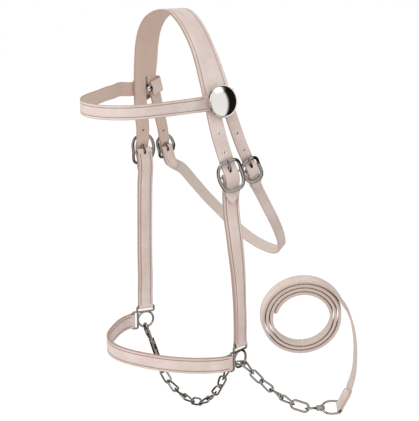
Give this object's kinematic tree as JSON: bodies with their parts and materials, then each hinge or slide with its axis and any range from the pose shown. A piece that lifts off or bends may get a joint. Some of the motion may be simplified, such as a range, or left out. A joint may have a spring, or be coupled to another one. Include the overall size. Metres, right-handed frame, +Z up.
{
  "type": "show halter with chain lead",
  "caption": "Leather horse halter with browband, noseband and throatlatch, domed discs, buckles, ring fittings, a chain under the chin and a coiled leather lead.",
  "frame": {"origin": "middle of the crown's inner face at the top of its arch, where a hook or the horse's poll holds the halter", "axes": "+Z up; -Y the way the horse faces; +X the horse's near (left) side"},
  "size_m": [0.3233, 0.333, 0.5672],
  "materials": {
    "browband": "russet leather, smooth grain side out, creased and stitched near the edges",
    "buckle_far_front": "bright nickel plate",
    "buckle_far_rear": "bright nickel plate",
    "buckle_near_front": "bright nickel plate",
    "buckle_near_rear": "bright nickel plate",
    "cheek_strap_far": "russet leather, smooth grain side out, creased and stitched near the edges",
    "cheek_strap_near": "russet leather, smooth grain side out, creased and stitched near the edges",
    "chin_link_1": "bright nickel plate",
    "chin_link_10": "bright nickel plate",
    "chin_link_11": "bright nickel plate",
    "chin_link_2": "bright nickel plate",
    "chin_link_3": "bright nickel plate",
    "chin_link_4": "bright nickel plate",
    "chin_link_5": "bright nickel plate",
    "chin_link_6": "bright nickel plate",
    "chin_link_7": "bright nickel plate",
    "chin_link_8": "bright nickel plate",
    "chin_link_9": "bright nickel plate",
    "concho_far": "bright nickel plate",
    "concho_near": "bright nickel plate",
    "concho_screw_far": "bright nickel plate",
    "concho_screw_near": "bright nickel plate",
    "crown_strap": "russet leather, smooth grain side out, creased and stitched near the edges",
    "halter_ring_far": "bright nickel plate",
    "halter_ring_near": "bright nickel plate",
    "lead_coil": "russet leather, smooth grain side out, creased and stitched near the edges",
    "lead_end_link": "bright nickel plate",
    "lead_link_1": "bright nickel plate",
    "lead_link_2": "bright nickel plate",
    "lead_link_3": "bright nickel plate",
    "lead_link_4": "bright nickel plate",
    "lead_link_5": "bright nickel plate",
    "lead_strap": "russet leather, smooth grain side out, creased and stitched near the edges",
    "lead_swivel_eye": "bright nickel plate",
    "lead_swivel_loop": "bright nickel plate",
    "noseband": "russet leather, smooth grain side out, creased and stitched near the edges",
    "ring_link": "bright nickel plate",
    "snap_body": "bright nickel plate",
    "snap_bolt": "bright nickel plate",
    "snap_eye": "bright nickel plate",
    "throatlatch": "russet leather, smooth grain side out, creased and stitched near the edges",
    "tongue_far_front": "bright nickel plate",
    "tongue_far_rear": "bright nickel plate",
    "tongue_near_front": "bright nickel plate",
    "tongue_near_rear": "bright nickel plate"
  },
  "bodies": {
    "halter": {"crown_strap": "crown_strap", "browband": "browband", "cheek_strap_near": "cheek_strap_near", "cheek_strap_far": "cheek_strap_far", "throatlatch": "throatlatch", "noseband": "noseband", "buckle_near_front": "buckle_near_front", "buckle_near_rear": "buckle_near_rear", "buckle_far_front": "buckle_far_front", "buckle_far_rear": "buckle_far_rear", "concho_near": "concho_near", "concho_far": "concho_far", "concho_screw_near": "concho_screw_near", "concho_screw_far": "concho_screw_far", "halter_ring_near": "halter_ring_near", "halter_ring_far": "halter_ring_far", "ring_link": "ring_link"},
    "tongue_near_front": {"tongue_near_front": "tongue_near_front"},
    "tongue_near_rear": {"tongue_near_rear": "tongue_near_rear"},
    "tongue_far_front": {"tongue_far_front": "tongue_far_front"},
    "tongue_far_rear": {"tongue_far_rear": "tongue_far_rear"},
    "chin_chain": {"chin_link_1": "chin_link_1", "chin_link_2": "chin_link_2", "chin_link_3": "chin_link_3", "chin_link_4": "chin_link_4", "chin_link_5": "chin_link_5", "chin_link_6": "chin_link_6", "chin_link_7": "chin_link_7", "chin_link_8": "chin_link_8", "chin_link_9": "chin_link_9", "chin_link_10": "chin_link_10", "chin_link_11": "chin_link_11", "snap_eye": "snap_eye"},
    "snap": {"snap_body": "snap_body"},
    "snap_bolt": {"snap_bolt": "snap_bolt"},
    "lead_link_1": {"lead_link_1": "lead_link_1"},
    "lead_link_2": {"lead_link_2": "lead_link_2"},
    "lead_link_3": {"lead_link_3": "lead_link_3"},
    "lead_link_4": {"lead_link_4": "lead_link_4"},
    "lead_link_5": {"lead_link_5": "lead_link_5"},
    "lead_end_link": {"lead_end_link": "lead_end_link"},
    "lead_swivel": {"lead_swivel_eye": "lead_swivel_eye"},
    "lead": {"lead_swivel_loop": "lead_swivel_loop", "lead_strap": "lead_strap", "lead_coil": "lead_coil"}
  },
  "joints": [
    {"name": "tongue_near_front_pivot", "type": "hinge", "parent": "halter", "child": "tongue_near_front", "pos_m": [0.1011, 0.0139, -0.2043], "axis": [0.2935, 0.9033, 0.3129], "range_deg": [0, 8]},
    {"name": "tongue_near_rear_pivot", "type": "hinge", "parent": "halter", "child": "tongue_near_rear", "pos_m": [0.0962, 0.0545, -0.2028], "axis": [0.2779, 0.8553, 0.4373], "range_deg": [0, 8]},
    {"name": "tongue_far_front_pivot", "type": "hinge", "parent": "halter", "child": "tongue_far_front", "pos_m": [-0.083, 0.0117, -0.2], "axis": [-0.1721, -0.9763, -0.1309], "range_deg": [0, 8]},
    {"name": "tongue_far_rear_pivot", "type": "hinge", "parent": "halter", "child": "tongue_far_rear", "pos_m": [-0.083, 0.0525, -0.201], "axis": [-0.164, -0.93, -0.3288], "range_deg": [0, 8]},
    {"name": "chin_chain_swing", "type": "hinge", "parent": "halter", "child": "chin_chain", "pos_m": [-0.101, 0.024, -0.4729], "axis": [0.9996, 0.0218, 0.0156], "range_deg": [-12, 12]},
    {"name": "snap_swivel", "type": "hinge", "parent": "chin_chain", "child": "snap", "pos_m": [-0.09879, 0.02245, -0.46627], "axis": [-0.4955, -0.0248, 0.8683], "range_deg": [-8, 8]},
    {"name": "snap_bolt_slide", "type": "slide", "parent": "snap", "child": "snap_bolt", "axis": [0.4955, 0.0248, -0.8683], "range_m": [0, 0.008], "stiffness_N_per_m": 180, "springref_m": -0.002},
    {"name": "lead_link_1_yaw", "type": "hinge", "parent": "halter", "child": "lead_link_1", "pos_m": [0.1057, 0.0352, -0.4692], "axis": [0, 0, 1], "range_deg": [-5, 5]},
    {"name": "lead_link_2_yaw", "type": "hinge", "parent": "lead_link_1", "child": "lead_link_2", "pos_m": [0.11518, 0.04339, -0.48281], "axis": [0, 0, 1], "range_deg": [-5, 5]},
    {"name": "lead_link_3_yaw", "type": "hinge", "parent": "lead_link_2", "child": "lead_link_3", "pos_m": [0.12306, 0.0533, -0.4963], "axis": [0, 0, 1], "range_deg": [-5, 5]},
    {"name": "lead_link_4_yaw", "type": "hinge", "parent": "lead_link_3", "child": "lead_link_4", "pos_m": [0.13167, 0.06417, -0.50855], "axis": [0, 0, 1], "range_deg": [-5, 5]},
    {"name": "lead_link_5_yaw", "type": "hinge", "parent": "lead_link_4", "child": "lead_link_5", "pos_m": [0.14026, 0.07584, -0.52005], "axis": [0, 0, 1], "range_deg": [-5, 5]},
    {"name": "lead_end_link_yaw", "type": "hinge", "parent": "lead_link_5", "child": "lead_end_link", "pos_m": [0.14893, 0.08842, -0.53048], "axis": [0, 0, 1], "range_deg": [-5, 5]},
    {"name": "lead_swivel_yaw", "type": "hinge", "parent": "lead_end_link", "child": "lead_swivel", "pos_m": [0.1612, 0.1051, -0.5382], "axis": [0, 0, 1], "range_deg": [-5, 5]},
    {"name": "lead_swivel_spin", "type": "hinge", "parent": "lead_swivel", "child": "lead", "pos_m": [0.1612, 0.1051, -0.5382], "axis": [0.6421, 0.765, 0.0499], "continuous": true}
  ]
}
